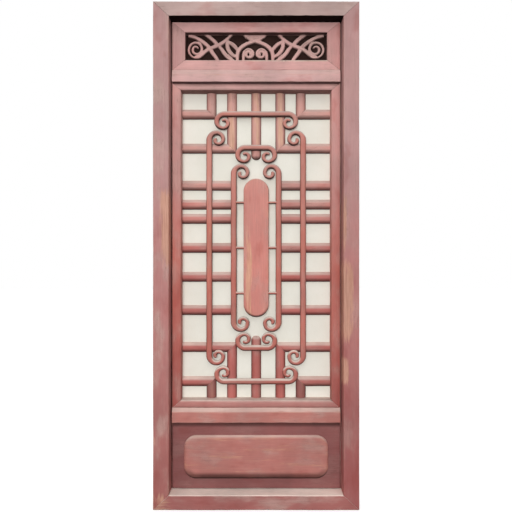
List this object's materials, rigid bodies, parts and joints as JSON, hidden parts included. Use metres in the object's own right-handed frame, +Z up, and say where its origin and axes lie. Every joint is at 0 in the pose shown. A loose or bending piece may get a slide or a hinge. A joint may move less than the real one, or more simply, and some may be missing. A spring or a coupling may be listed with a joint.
{
  "type": "lattice door with frame",
  "caption": "Red timber door in a mitred frame: carved openwork above, a scroll lattice over paper, a raised panel below; the leaf swings inwards on wooden pintles.",
  "frame": {"origin": "middle of the sill's underside, half way through the frame's depth", "axes": "+Z up the door, +X to the right seen from the front, +Y from the front to the back"},
  "size_m": [0.852, 0.1211, 2.1],
  "materials": {
    "frame_timber": "worn red paint, greyed at the top",
    "socket_timber": "bare dark wood",
    "leaf_timber": "worn red paint",
    "moulding_timber": "worn red paint, faded",
    "lattice_timber": "worn red paint",
    "scroll_timber": "worn red paint",
    "panel_timber": "dark worn red paint",
    "paper": "matt cream paper",
    "backing_timber": "soot-dark wood"
  },
  "bodies": {
    "frame": {"left_jamb": "frame_timber", "right_jamb": "frame_timber", "frame_head": "frame_timber", "sill": "frame_timber", "upper_socket": "socket_timber", "lower_socket": "socket_timber", "socket_pegs": "socket_timber"},
    "leaf": {"hinge_stile": "leaf_timber", "closing_stile": "leaf_timber", "top_rail": "leaf_timber", "bottom_rail": "leaf_timber", "upper_rail": "moulding_timber", "lower_rail": "moulding_timber", "openwork_frame_left": "moulding_timber", "openwork_frame_right": "moulding_timber", "openwork_frame_top": "moulding_timber", "openwork_frame_bottom": "moulding_timber", "lattice_frame_left": "moulding_timber", "lattice_frame_right": "moulding_timber", "lattice_frame_top": "moulding_timber", "lattice_frame_bottom": "moulding_timber", "cross_bars_1": "lattice_timber", "cross_bars_2": "lattice_timber", "cross_bars_3": "lattice_timber", "cross_bars_4": "lattice_timber", "cross_bars_5": "lattice_timber", "cross_bars_6": "lattice_timber", "cross_bars_7": "lattice_timber", "cross_bars_8": "lattice_timber", "cross_bars_9": "lattice_timber", "cross_bars_10": "lattice_timber", "upper_upright_1": "lattice_timber", "upper_upright_2": "lattice_timber", "upper_upright_3": "lattice_timber", "upper_upright_4": "lattice_timber", "upper_upright_5": "lattice_timber", "lower_upright_1": "lattice_timber", "lower_upright_2": "lattice_timber", "lower_upright_3": "lattice_timber", "lower_upright_4": "lattice_timber", "lower_upright_5": "lattice_timber", "outer_scroll_left": "scroll_timber", "outer_scroll_right": "scroll_timber", "outer_scroll_top": "scroll_timber", "outer_scroll_bottom": "scroll_timber", "inner_scroll_left": "scroll_timber", "inner_scroll_right": "scroll_timber", "inner_scroll_top": "scroll_timber", "inner_scroll_bottom": "scroll_timber", "centre_tablet": "scroll_timber", "tablet_pegs": "scroll_timber", "openwork_carving": "scroll_timber", "bottom_panel": "panel_timber", "raised_field": "panel_timber", "lattice_paper": "paper", "openwork_back": "backing_timber"}
  },
  "joints": [
    {"name": "leaf_swing", "type": "hinge", "parent": "frame", "child": "leaf", "pos_m": [-0.365, 0.057, 1.05], "axis": [0, 0, 1], "range_deg": [0, 105]}
  ]
}
